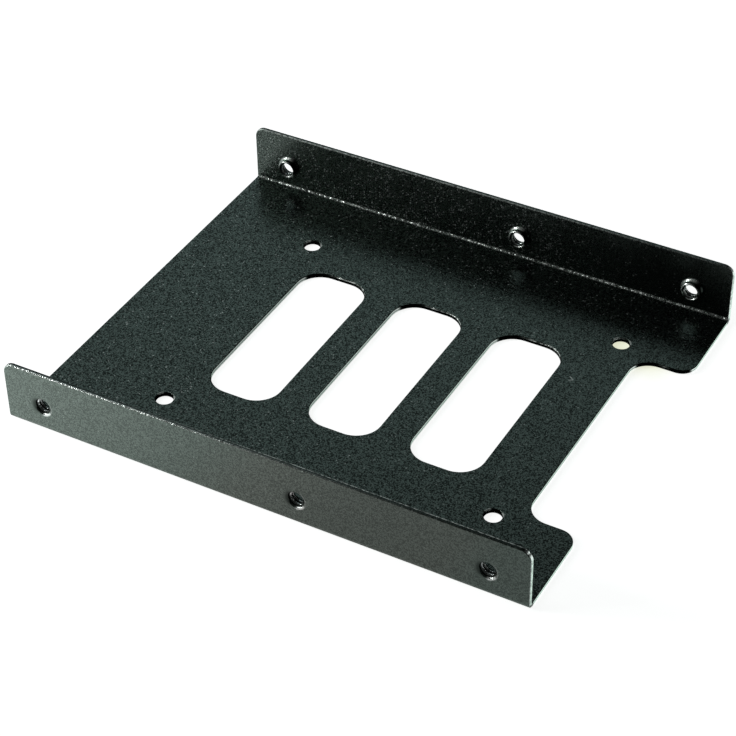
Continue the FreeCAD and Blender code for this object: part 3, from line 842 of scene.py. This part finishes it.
def white_floor(stage):
    """A floor that the camera sees as white and that keeps the tray's soft shadow, which a patch of lower,
    cream glow by the notch paints cream.
    Its reflection is brightest in front of the tray on the left and falls off to the right, where it is a
    little warm, and elsewhere it rises towards the connector end."""
    half = stage.floor_size / 2
    mesh = bpy.data.meshes.new("studio_floor")
    corners = [(-half, -half, 0.0), (half, -half, 0.0), (half, half, 0.0), (-half, half, 0.0)]
    mesh.from_pydata(corners, [], [(0, 1, 2, 3)])
    floor = bpy.data.objects.new("studio_floor", mesh)
    bpy.context.scene.collection.objects.link(floor)
    material, flow = new_material("studio_white")
    x, y = millimetres(flow)[1:3]
    rays = ("Is Camera Ray", "Is Glossy Ray", "Is Transmission Ray")
    seen, glossy, through = flow.node("ShaderNodeLightPath", output=rays)
    in_front = y.step(*FLOOR_IN_FRONT)
    front = FRONT_LEVEL - FRONT_LOSS * x.step(*FRONT_TO_RIGHT)
    elsewhere = FLOOR_LEVEL + FLOOR_RISE * x.step(*FLOOR_RISE_ALONG)
    elsewhere = elsewhere + FLOOR_END_RISE * x.step(*FLOOR_END_ALONG)
    reflected = elsewhere + in_front * (front - elsewhere)
    red = reflected * (1 + WARM_RED * in_front * x.band(*WARM_ALONG))
    reflected = flow.node("ShaderNodeCombineColor", None, {"Red": red, "Green": reflected, "Blue": reflected})
    # Painted shade: lower, cream glow in a patch by the notch
    cream_shade_patch = x.band(*CREAM_ALONG) * y.band(*CREAM_ACROSS)
    level = seen.greater(through).tint(BLACK, cream_shade_patch.tint(PAPER_GLOW, CREAM_GLOW))
    level = glossy.tint(level, reflected)
    paper = flow.node("ShaderNodeBsdfDiffuse", None, {"Color": PAPER_COLOUR})
    glow = flow.node("ShaderNodeEmission", None, {"Color": level, "Strength": 1.0})
    both = flow.node("ShaderNodeAddShader", None, {0: paper, 1: glow})
    flow.node("ShaderNodeOutputMaterial", None, {"Surface": both})
    mesh.materials.append(material)


def studio_world(stage):
    """White where the camera looks past the floor, and a plain grey room as light and in reflections."""
    world = bpy.data.worlds.new("studio_room")
    world.use_nodes = True
    world.node_tree.nodes.clear()
    flow = Flow(world.node_tree)
    seen = flow.node("ShaderNodeLightPath", output="Is Camera Ray")
    level = seen.tint(opaque((stage.studio_level,) * 3), WHITE)
    room = flow.node("ShaderNodeBackground", None, {"Color": level, "Strength": 1.0})
    flow.node("ShaderNodeOutputWorld", None, {"Surface": room})
    bpy.context.scene.world = world


def soft_box(name, place, target, size, power):
    """A rectangular lamp that faces a point of the tray."""
    lamp = bpy.data.lights.new(name, "AREA")
    lamp.shape = "RECTANGLE"
    lamp.size, lamp.size_y = size
    lamp.energy = power
    holder = bpy.data.objects.new(name, lamp)
    holder.location = place
    holder.rotation_euler = (Vector(target) - Vector(place)).to_track_quat("-Z", "Y").to_euler()
    bpy.context.scene.collection.objects.link(holder)
    return holder


def photo_camera(stage):
    """A camera at this azimuth, elevation and roll round the aim."""
    a, e, roll = stage.azimuth, stage.elevation, stage.roll
    back = Vector((math.sin(a) * math.cos(e), -math.cos(a) * math.cos(e), math.sin(e)))
    level = Vector((math.cos(a), math.sin(a), 0.0))
    upright = back.cross(level)
    right = math.cos(roll) * level + math.sin(roll) * upright
    up = back.cross(right)
    turn = Matrix((right, up, back)).transposed().to_4x4()
    camera = bpy.data.cameras.new("photo_camera")
    camera.sensor_width = SENSOR_WIDTH
    camera.lens = stage.lens
    camera.clip_start = CLIP_START
    camera.clip_end = CLIP_END
    holder = bpy.data.objects.new("photo_camera", camera)
    holder.matrix_world = Matrix.Translation(Vector(stage.aim) + back * stage.distance) @ turn
    bpy.context.scene.collection.objects.link(holder)
    bpy.context.scene.camera = holder


class TRAY_OT_stage(bpy.types.Operator):
    """Sets up the white studio, its lamps and the camera"""

    bl_idname = "tray.stage"
    bl_label = "Set the stage"

    def execute(self, context):
        stage = context.scene.tray_stage
        white_floor(stage)
        studio_world(stage)
        card_power = stage.card_level * math.pi * CARD_SIZE[0] * CARD_SIZE[1]
        card = soft_box("back_card", CARD_PLACE, MIDDLE, CARD_SIZE, card_power)
        card.data.color = COOL_WHITE
        soft_box("rim_lamp", RIM_LAMP_PLACE, MIDDLE, RIM_LAMP_SIZE, stage.rim_power)
        soft_box("key_soft_box", KEY_PLACE, MIDDLE, KEY_SIZE, stage.key_power)
        soft_box("accent_lamp", ACCENT_PLACE, MIDDLE, ACCENT_SIZE, stage.accent_power)
        soft_box("edge_lamp", EDGE_LAMP_PLACE, FRONT_RIM, EDGE_LAMP_SIZE, stage.edge_power)
        photo_camera(stage)
        context.scene.view_settings.view_transform = "Standard"
        return {"FINISHED"}


class TRAY_PT_panel(bpy.types.Panel):
    """Settings of the drive tray"""

    bl_idname = "TRAY_PT_panel"
    bl_label = "Drive Tray"
    bl_space_type = "VIEW_3D"
    bl_region_type = "UI"
    bl_category = "Drive Tray"

    def draw(self, context):
        steps = (("tray.coat", "tray_finish"), ("tray.threads", "tray_thread"), ("tray.stage", "tray_stage"))
        for operator, group_name in steps:
            group = getattr(context.scene, group_name)
            box = self.layout.box()
            for name in type(group).__annotations__:
                box.prop(group, name)
            box.operator(operator)


SETTINGS = (("tray_finish", FinishSettings), ("tray_thread", ThreadSettings), ("tray_stage", StageSettings))
OPERATORS = (TRAY_OT_coat, TRAY_OT_threads, TRAY_OT_stage)
CLASSES = (FinishSettings, ThreadSettings, StageSettings, *OPERATORS, TRAY_PT_panel)


def register():
    """Adds the classes and puts their settings on the scene."""
    for item in CLASSES:
        bpy.utils.register_class(item)
    for name, group in SETTINGS:
        setattr(bpy.types.Scene, name, bpy.props.PointerProperty(type=group))


def unregister():
    """Takes the settings and classes away again."""
    for name, group in reversed(SETTINGS):
        delattr(bpy.types.Scene, name)
    for item in reversed(CLASSES):
        bpy.utils.unregister_class(item)


def main():
    """Dresses the tray and sets the stage."""
    register()
    bpy.ops.tray.coat()
    bpy.ops.tray.threads()
    bpy.ops.tray.stage()
    bpy.context.view_layer.update()


if __name__ == "__main__":
    main()
